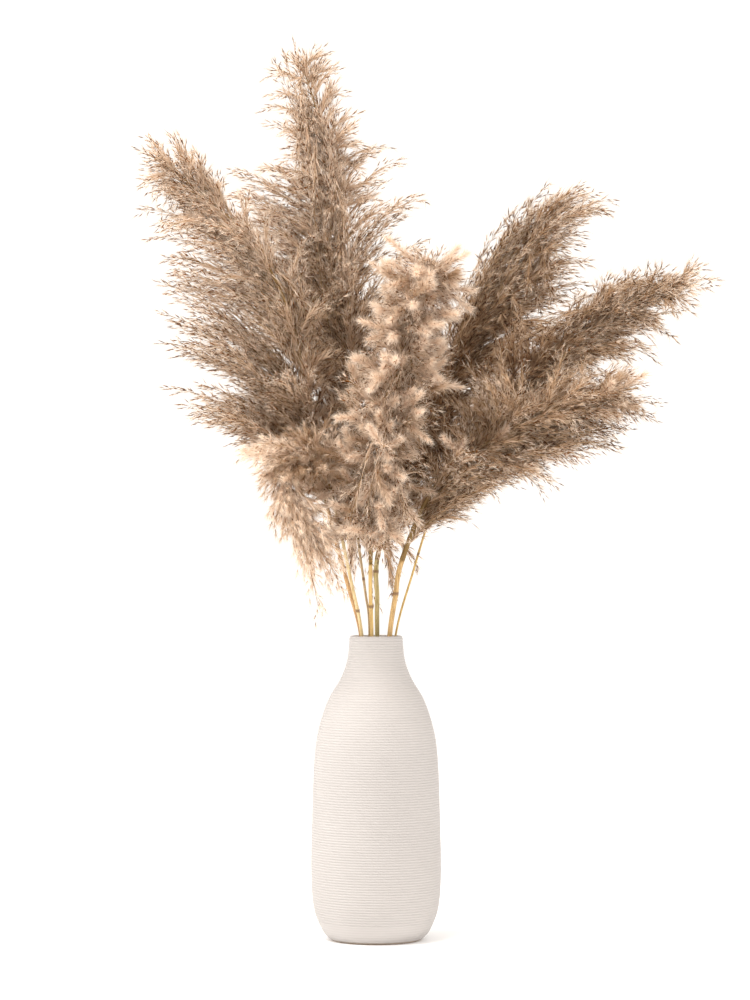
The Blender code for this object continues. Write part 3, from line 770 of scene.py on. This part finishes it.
def core_shade(places):
    """Return how dark places are for being deep inside the bouquet, from 0 to 1."""
    shades = []
    for middle, reach in CORES:
        apart = (places - np.array(middle)) / np.array(reach)
        shades.append(np.exp(-(apart ** 2).sum(axis=1)))
    return np.max(shades, axis=0)


def patches(places):
    """Return a slow change of tone through the bouquet, from -1 to 1, for paler and darker clumps."""
    turn = math.tau / PATCH_SIZE
    waves = [np.sin(places @ (turn * np.array(way)) + shift) for way, shift in PATCH_WAVES]
    return sum(waves) / len(waves)


def shaded(tones, places):
    """Return tones with the shade of the bouquet's inside and its patches."""
    return tones - CORE_SHADE * core_shade(places) + PATCH_TONE * patches(places)


def make_tufts(mesh, lines, look, rng):
    """Add puffs of silky hair on the sprays, with painted shade inside and painted light at their tips.
    """
    for _ in range(look["tufts"]):
        points = lines[rng.integers(len(lines))]
        first, last = (int(share * SPRAY_POINTS) for share in look["puffs"])
        n = rng.integers(first, last)
        heading = unit(points[n] - points[n - 1])
        heading = unit(heading + TUFT_STRAY * unit(rng.normal(size=3)) + np.array([0, 0, TUFT_LIFT]))
        length = rng.uniform(*TUFT_LENGTHS)
        share = rng.beta(*TUFT_FILLING, HAIRS_A_TUFT)
        bow = unit(rng.normal(size=3)) * TUFT_BOW
        axis = points[n] + share[:, None] * length * heading + (share ** 2)[:, None] * bow
        around = aside(np.broadcast_to(heading, (HAIRS_A_TUFT, 3)), rng)
        lean = rng.uniform(*TUFT_LEANS, HAIRS_A_TUFT)[:, None]
        ways = unit(np.cos(lean) * heading + np.sin(lean) * around)
        starts = axis + ways * rng.uniform(0, TUFT_FOOT, HAIRS_A_TUFT)[:, None]
        lengths = rng.uniform(*TUFT_HAIR_LENGTHS, HAIRS_A_TUFT) * (1.05 - 0.35 * share)
        tones = look["tone"] + rng.normal() * TUFT_TONE_SPREAD + TUFT_PAINTED_LIGHT * (share - TUFT_MIDDLE)
        tones = shaded(tones + rng.normal(0, TUFT_HAIR_TONE_SPREAD, HAIRS_A_TUFT), starts)
        hairs(mesh, starts, ways, lengths, rng, np.clip(tones, *TUFT_TONES))
        some = slice(0, SPIKELETS_A_TUFT)
        darker = np.clip(tones[some] - TUFT_SPIKELET_SHADE, *PART_TONES)
        sizes = np.full(SPIKELETS_A_TUFT, TUFT_SPIKELET_SIZE)
        spikelets(mesh, axis[some], ways[some], rng, darker, sizes)


def make_stalks(mesh, sprays, look, rng):
    """Add each spray's stalk, and return its branchlets' roots, headings, shares of it and tones."""
    places, headings, shares, tones = [], [], [], []
    for points, spray_tone in sprays:
        length = np.linalg.norm(np.diff(points, axis=0), axis=1).sum()
        stalk = points[::STALK_STRIDE]
        girths = np.linspace(*STALK_GIRTHS, len(stalk))
        tube(mesh, stalk, girths, STALK_SIDES, rng.uniform(*STALK_TONES))
        count = max(FEWEST_BRANCHLETS, int(length / BRANCHLET_SPACING))
        share = np.linspace(FIRST_BRANCHLET, LAST_BRANCHLET, count)
        share = share + rng.uniform(-BRANCHLET_STRAY, BRANCHLET_STRAY, count) / count
        share = np.clip(share, *BRANCHLET_ENDS)
        at = share * (SPRAY_POINTS - 1)
        low = np.minimum(at.astype(int), SPRAY_POINTS - 2)
        part = (at - low)[:, None]
        places.append(points[low] * (1 - part) + points[low + 1] * part)
        headings.append(unit(points[low + 1] - points[low]))
        shares.append(share)
        # Painted light towards the spray's tip and painted shade towards its root
        tones.append(look["tone"] + spray_tone + SPRAY_PAINTED_LIGHT * (share - SPRAY_MIDDLE))
    place = np.concatenate(places)
    return place, np.concatenate(headings), np.concatenate(shares), shaded(np.concatenate(tones), place)


def make_plume(reed, number, fluff):
    """Build a plume: its rachis, sprays, branchlets, spikelets and hairs."""
    name = "plume_" + reed["name"]
    look = LOOKS[reed["name"]]
    rng = np.random.default_rng(FIRST_SEED + number)
    rachis = reed_lines(reed, STEM_STEPS)[1]
    sprays = plume_sprays(reed, look, rachis)
    curves = [points for points, _ in sprays]

    mesh = Mesh()
    tip_girth = RACHIS_TIP_GIRTH * RACHIS_TIP_SHARE
    girths = np.linspace(CM * reed["girth"], tip_girth, RACHIS_POINTS)
    tube(mesh, smooth_line(rachis, RACHIS_POINTS), girths, RACHIS_SIDES, RACHIS_TONE)
    place, heading, share, tone = make_stalks(mesh, sprays, look, rng)
    # The strands are darker than the plume: painted shade inside it
    strands(mesh, curves, rng, look["tone"] - STRAND_SHADE)
    make_tufts(mesh, curves, look, rng)

    # Branchlets lean out from the spray and bend back along it and down.
    count = len(place)
    side = aside(heading, rng)
    lean = np.radians(look["lean"] - LEAN_LOSS * share + rng.normal(0, LEAN_SPREAD, count))[:, None]
    out = unit(np.cos(lean) * heading + np.sin(lean) * side)
    lengths = BRANCHLET_LENGTH - BRANCHLET_LENGTH_LOSS * share
    reach = (lengths * rng.uniform(*BRANCHLET_SIZES, count))[:, None]
    bend = BEND_BACK * heading + np.array([0, 0, -BEND_DOWN])

    def on_branchlet(u):
        return place + reach * (u * out + u * u * bend)

    thread = aside(out, rng) * THREAD_GIRTH
    a, b, c = (on_branchlet(u) for u in (0.0, 0.5, 1.0))
    points = np.stack([a - thread, a + thread, b - thread, b + thread, c], 1)
    edges = np.array([-EDGE_TONE, EDGE_TONE, -EDGE_TONE, EDGE_TONE, 0])
    u = np.clip(tone[:, None] + edges, *TONE_ENDS)
    v = np.broadcast_to(place_of("stalk", np.array([0.5, 0.5, 0.75, 0.75, 1.0])), u.shape)
    mesh.add(points, [(0, 1, 3), (0, 3, 2), (2, 3, 4)], np.stack([u, v], 2))

    # Spikelets sit on both sides of a branchlet, and one at its end.
    roots, ways = [], []
    flank = aside(out, rng)
    for n in range(SPIKELETS_A_BRANCHLET):
        u = FIRST_SPIKELET + (1 - FIRST_SPIKELET) * n / (SPIKELETS_A_BRANCHLET - 1)
        way = unit(out + 2 * u * bend)
        turn = SPIKELET_TURN * (-1) ** n * (n < SPIKELETS_A_BRANCHLET - 1)
        way = unit(way + turn * flank + rng.normal(0, SPIKELET_STRAY, way.shape))
        roots.append(on_branchlet(u) + SPIKELET_FOOT * way)
        ways.append(way)
    root = np.concatenate(roots)
    way = np.concatenate(ways)
    tones = np.tile(tone, SPIKELETS_A_BRANCHLET) + rng.normal(0, SPIKELET_TONE_SPREAD, len(root))
    shares = np.tile(share, SPIKELETS_A_BRANCHLET)
    scale = np.full(len(root), SMALL_SPIKELETS if look["tufts"] else 1.0)
    spikelets(mesh, root, way, rng, np.clip(tones - SPIKELET_SHADE, *PART_TONES), scale)

    # Hairs stand round the spikelets, fewer towards the tips of the sprays.
    wanted = look["triangles"] - mesh.triangles
    weight = 1 - look["bareness"] * np.clip((shares - BARE_FROM) / BARE_OVER, 0, 1)
    chosen = rng.choice(len(root), wanted, p=weight / weight.sum())
    spread = rng.normal(0, look["fuzz"], (wanted, 3))
    hair_way = unit(way[chosen] + spread + np.array([0, 0, -HAIR_SAG]))
    start = root[chosen] + way[chosen] * rng.uniform(0, HAIR_FOOT, wanted)[:, None]
    lengths = rng.uniform(*HAIR_LENGTHS, wanted)
    hair_tones = tones[chosen] + rng.normal(HAIR_PALING, HAIR_TONE_SPREAD, wanted)
    hairs(mesh, start, hair_way, lengths, rng, np.clip(hair_tones, *PART_TONES))

    piece = new_object("fine_" + name, mesh.build("fine_" + name), fluff)
    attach(piece, "root")
    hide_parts(name)


def outline_radius(z):
    """Return the vase's outer radius at a height, on the crests of its ridges."""
    n = 0
    while n < len(VASE_OUTLINE) - 2 and z > VASE_OUTLINE[n + 1][0]:
        n += 1
    (za, ra), (zb, rb) = VASE_OUTLINE[n], VASE_OUTLINE[n + 1]
    zp, rp = VASE_OUTLINE[max(n - 1, 0)]
    zn, rn = VASE_OUTLINE[min(n + 2, len(VASE_OUTLINE) - 1)]
    t = (z - za) / (zb - za)
    leave = (rb - rp) / (zb - zp) * (zb - za)
    arrive = (rn - ra) / (zn - za) * (zb - za)
    return (
        (2 * t**3 - 3 * t**2 + 1) * ra + (t**3 - 2 * t**2 + t) * leave
        + (3 * t**2 - 2 * t**3) * rb + (t**3 - t**2) * arrive
    )


def make_vase():
    """Turn the vase's profile: up the inside, over the rim and down the finely ridged outside."""
    rim = outline_radius(VASE_HEIGHT)
    lip = VASE_HEIGHT - LIP
    profile = [(0.012, VASE_FLOOR), (0.028, VASE_FLOOR)]
    for n in range(INNER_ROWS):
        z = VASE_FLOOR + INNER_CORNER + (lip - VASE_FLOOR - INNER_CORNER) * n / (INNER_ROWS - 1)
        if n == 0:
            profile.append((outline_radius(z) - VASE_WALL - INNER_CORNER, VASE_FLOOR))
        profile.append((outline_radius(z) - VASE_WALL, z))
    middle = rim - VASE_WALL / 2
    for n in range(1, RIM_STEPS):
        angle = math.pi * n / RIM_STEPS
        profile.append((middle - math.cos(angle) * VASE_WALL / 2, lip + math.sin(angle) * LIP))
    ridges = int((lip - RIDGES_START) / RIDGE_PITCH)
    for n in range(ridges):
        for share, depth in RIDGE_ROWS:
            z = lip - (n + share) * RIDGE_PITCH
            profile.append((outline_radius(z) - depth * RIDGE_DEPTH, z))
    z = lip - ridges * RIDGE_PITCH
    while z > PLAIN_END:
        profile.append((outline_radius(z) - PLAIN_INSET, z))
        z -= PLAIN_STEP
    foot = outline_radius(0)
    for height, inset in FOOT_ROWS:
        profile.append((outline_radius(height) - inset, height))
    profile += [(foot - 0.0012, 0.0001), (foot - 0.0030, 0), (0.030, 0), (0.012, 0)]

    rows = len(profile)
    turns = np.arange(VASE_SIDES) * math.tau / VASE_SIDES
    rows_at = np.array(profile)
    points = np.zeros((rows, VASE_SIDES, 3))
    points[:, :, 0] = rows_at[:, :1] * np.cos(turns)
    points[:, :, 1] = rows_at[:, :1] * np.sin(turns)
    points[:, :, 2] = rows_at[:, 1:]
    n, m = np.meshgrid(np.arange(rows - 1), np.arange(VASE_SIDES), indexing="ij")
    here = n * VASE_SIDES + m
    beside = n * VASE_SIDES + (m + 1) % VASE_SIDES
    quads = np.stack([here, here + VASE_SIDES, beside + VASE_SIDES, beside], 2).reshape(-1, 4)
    faces = [tuple(quad) for quad in quads.tolist()]
    faces.append(tuple(range(VASE_SIDES)))
    faces.append(tuple(range((rows - 1) * VASE_SIDES, rows * VASE_SIDES))[::-1])
    mesh = bpy.data.meshes.new("fine_vase")
    mesh.from_pydata(points.reshape(-1, 3).tolist(), [], faces)
    mesh.update()
    mesh.shade_smooth()
    piece = new_object("fine_vase", mesh, ceramic_material())
    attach(piece, "root")
    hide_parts("vase")


def make_stem(reed):
    """Sweep a culm with swollen knots along its line."""
    line = reed_lines(reed, STEM_STEPS)[0]
    look = LOOKS[reed["name"]]
    girth = CM * reed["girth"]
    girths = []
    for place in line:
        knot = (place.z - CM * look["knot"]) / KNOT_SPACING % 1
        near = min(knot, 1 - knot) * KNOT_SPACING
        girths.append(girth * (CULM_GIRTH + KNOT_SWELLING * math.exp(-((near / KNOT_LENGTH) ** 2))))
    mesh = Mesh()
    tube(mesh, line, girths, STEM_SIDES, 0.5)
    data = mesh.build("fine_stem_" + reed["name"])
    data.shade_smooth()
    piece = new_object(data.name, data, culm_material(reed))
    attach(piece, "root")
    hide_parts("stem_" + reed["name"])


def ceramic_material():
    """A matte glaze with painted shade in the grooves, and a brown band round the bottom of the foot."""
    nodes = Nodes("white_ceramic")
    shader = nodes.shader
    shader.inputs["Specular IOR Level"].default_value = 0.35
    tone = nodes.noise(9.0, detail=4)
    plain = nodes.ramp(tone, [(0.35, "b0aba8"), (0.65, "b5b0ad")])
    height = nodes.node("SeparateXYZ")
    nodes.link(nodes.node("TexCoord").outputs["Object"], height.inputs[0])
    # Painted shade: the glaze colour is darker along each groove between the ridges
    turns = nodes.node("Math", operation="MULTIPLY_ADD")
    turns.inputs[1].default_value = math.tau / RIDGE_PITCH
    turns.inputs[2].default_value = -math.tau * (VASE_HEIGHT - LIP) / RIDGE_PITCH
    nodes.link(height.outputs["Z"], turns.inputs[0])
    wave = nodes.node("Math", operation="COSINE")
    nodes.link(turns.outputs[0], wave.inputs[0])
    groove_shade = nodes.node("MapRange")
    groove_shade.inputs["From Min"].default_value = 0.45
    groove_shade.inputs["To Max"].default_value = 0.55
    nodes.link(wave.outputs[0], groove_shade.inputs["Value"])
    mix = nodes.node("Mix", data_type="RGBA")
    nodes.link(groove_shade.outputs[0], mix.inputs[0])
    nodes.link(plain, mix.inputs[6])
    mix.inputs[7].default_value = tint("a4a09b")
    # A brown band at the bottom of the foot
    foot = nodes.node("MapRange")
    foot.inputs["From Min"].default_value = 0.0010
    foot.inputs["From Max"].default_value = 0.0022
    foot.inputs["To Min"].default_value = 0.8
    foot.inputs["To Max"].default_value = 0.0
    nodes.link(height.outputs["Z"], foot.inputs["Value"])
    whole = nodes.node("Mix", data_type="RGBA")
    nodes.link(foot.outputs[0], whole.inputs[0])
    nodes.link(mix.outputs[2], whole.inputs[6])
    whole.inputs[7].default_value = tint("a58d74")
    nodes.link(whole.outputs[2], shader.inputs["Base Color"])
    rough = nodes.node("MapRange")
    nodes.link(nodes.noise(60.0), rough.inputs["Value"])
    rough.inputs["To Min"].default_value = 0.48
    rough.inputs["To Max"].default_value = 0.66
    nodes.link(rough.outputs[0], shader.inputs["Roughness"])
    nodes.bump(nodes.noise(1400.0, detail=4), 0.08, 0.0001)
    return nodes.material


def culm_material(reed):
    """Streaks along the culm, with a dark ring at each knot."""
    light, dark = CULM_COLOURS[reed["name"]]
    look = LOOKS[reed["name"]]
    nodes = Nodes("straw_" + reed["name"])
    shader = nodes.shader
    streak = nodes.noise(1.0, (900, 900, 25), detail=4)
    colour = nodes.ramp(streak, [(0.35, dark), (0.62, light)])
    height = nodes.node("SeparateXYZ")
    nodes.link(nodes.node("TexCoord").outputs["Object"], height.inputs[0])
    turns = nodes.node("Math", operation="MULTIPLY_ADD")
    turns.inputs[1].default_value = math.tau / KNOT_SPACING
    turns.inputs[2].default_value = -math.tau * CM * look["knot"] / KNOT_SPACING
    nodes.link(height.outputs["Z"], turns.inputs[0])
    wave = nodes.node("Math", operation="COSINE")
    nodes.link(turns.outputs[0], wave.inputs[0])
    ring = nodes.node("MapRange")
    ring.inputs["From Min"].default_value = 0.990
    ring.inputs["From Max"].default_value = 0.999
    ring.inputs["To Max"].default_value = 0.85
    nodes.link(wave.outputs[0], ring.inputs["Value"])
    mix = nodes.node("Mix", data_type="RGBA")
    nodes.link(ring.outputs[0], mix.inputs[0])
    nodes.link(colour, mix.inputs[6])
    mix.inputs[7].default_value = tint("6b4a2c")
    nodes.link(mix.outputs[2], shader.inputs["Base Color"])
    shader.inputs["Roughness"].default_value = 0.45
    nodes.bump(streak, 0.4, 0.0002)
    return nodes.material


def fluff_material():
    """A dark, a middle and a light scale of colours for the kinds of parts, mixed by tone."""
    nodes = Nodes("fluff")
    shader = nodes.shader
    place = nodes.node("UVMap", uv_map=BAKE_MAP)
    split = nodes.node("SeparateXYZ")
    nodes.link(place.outputs[0], split.inputs[0])
    tone, kind = split.outputs["X"], split.outputs["Y"]
    dark = nodes.ramp(kind, [
        (0.03, "5c3414"), (0.13, "381c08"), (0.29, "683e18"),
        (0.37, "6a441e"), (0.63, "885c32"), (0.71, "4c3a20"), (0.97, "6c4a28"),
    ])
    middle = nodes.ramp(kind, [
        (0.03, "9e6d3a"), (0.13, "764820"), (0.29, "a4733a"),
        (0.37, "bf9e7e"), (0.63, "cdb598"), (0.71, "8f7448"), (0.97, "a28157"),
    ])
    light = nodes.ramp(kind, [
        (0.03, "c88e50"), (0.13, "9a602c"), (0.29, "cc9250"),
        (0.37, "f2dec9"), (0.63, "f9eee1"), (0.71, "b89a68"), (0.97, "c8a472"),
    ])
    colour = dark
    for low, high, scale in ((0.0, 0.5, middle), (0.5, 1.0, light)):
        span = nodes.node("MapRange")
        nodes.link(tone, span.inputs[0])
        span.inputs[1].default_value = low
        span.inputs[2].default_value = high
        mix = nodes.node("Mix", data_type="RGBA")
        nodes.link(span.outputs[0], mix.inputs[0])
        nodes.link(colour, mix.inputs[6])
        nodes.link(scale, mix.inputs[7])
        colour = mix.outputs[2]
    nodes.link(colour, shader.inputs["Base Color"])
    shader.inputs["Roughness"].default_value = 0.75
    shader.inputs["Specular IOR Level"].default_value = 0.25
    through = nodes.node("BsdfTranslucent")
    nodes.link(colour, through.inputs["Color"])
    both = nodes.node("MixShader")
    both.inputs[0].default_value = 0.40
    nodes.link(shader.outputs[0], both.inputs[1])
    nodes.link(through.outputs[0], both.inputs[2])
    nodes.link(both.outputs[0], nodes.tree.nodes["Material Output"].inputs["Surface"])
    return nodes.material


def make_floor():
    mesh = bpy.data.meshes.new("floor")
    half = FLOOR_SIZE / 2
    corners = [(-half, -half, 0), (half, -half, 0), (half, half, 0), (-half, half, 0)]
    mesh.from_pydata(corners, [], [(0, 1, 2, 3)])
    nodes = Nodes("floor_white")
    nodes.shader.inputs["Base Color"].default_value = (0.93, 0.93, 0.93, 1)
    nodes.shader.inputs["Roughness"].default_value = 0.9
    nodes.shader.inputs["Emission Color"].default_value = (1, 1, 1, 1)
    nodes.shader.inputs["Emission Strength"].default_value = 0.06
    floor = new_object("floor", mesh, nodes.material)


def make_light(name, place, target, size, power, colour):
    data = bpy.data.lights.new(name, "AREA")
    data.shape = "RECTANGLE"
    data.size, data.size_y = size
    data.energy = power
    data.color = colour
    lamp = bpy.data.objects.new(name, data)
    bpy.context.scene.collection.objects.link(lamp)
    lamp.location = place
    lamp.rotation_euler = (Vector(target) - Vector(place)).to_track_quat("-Z", "Y").to_euler()


def make_studio():
    make_floor()
    world = bpy.data.worlds.new("studio")
    bpy.context.scene.world = world
    world.use_nodes = True
    background = world.node_tree.nodes["Background"]
    background.inputs["Color"].default_value = (1.0, 0.958, 0.916, 1)
    background.inputs["Strength"].default_value = 1.13
    make_light("key", (-2.5, -0.8, 1.6), (0, 0, 0.45), (1.5, 1.5), 42, (1, 0.985, 0.965))
    make_light("top", (-0.6, -0.7, 2.3), (0, 0, 0.6), (1.0, 1.0), 45, (1, 0.97, 0.93))
    make_light("fill", (2.6, -1.3, 1.2), (0, 0, 0.45), (1.6, 1.6), 24, (1, 0.98, 0.96))
    data = bpy.data.cameras.new("camera")
    data.lens = CAMERA_LENS
    data.sensor_width = 36
    camera = bpy.data.objects.new("camera", data)
    bpy.context.scene.collection.objects.link(camera)
    camera.location = CAMERA_PLACE
    camera.rotation_euler = (math.radians(90), 0, 0)
    bpy.context.scene.camera = camera
    bpy.context.scene.view_settings.view_transform = "Standard"


make_studio()
make_vase()
fluff = fluff_material()
for number, reed in enumerate(REEDS):
    make_stem(reed)
    make_plume(reed, number, fluff)
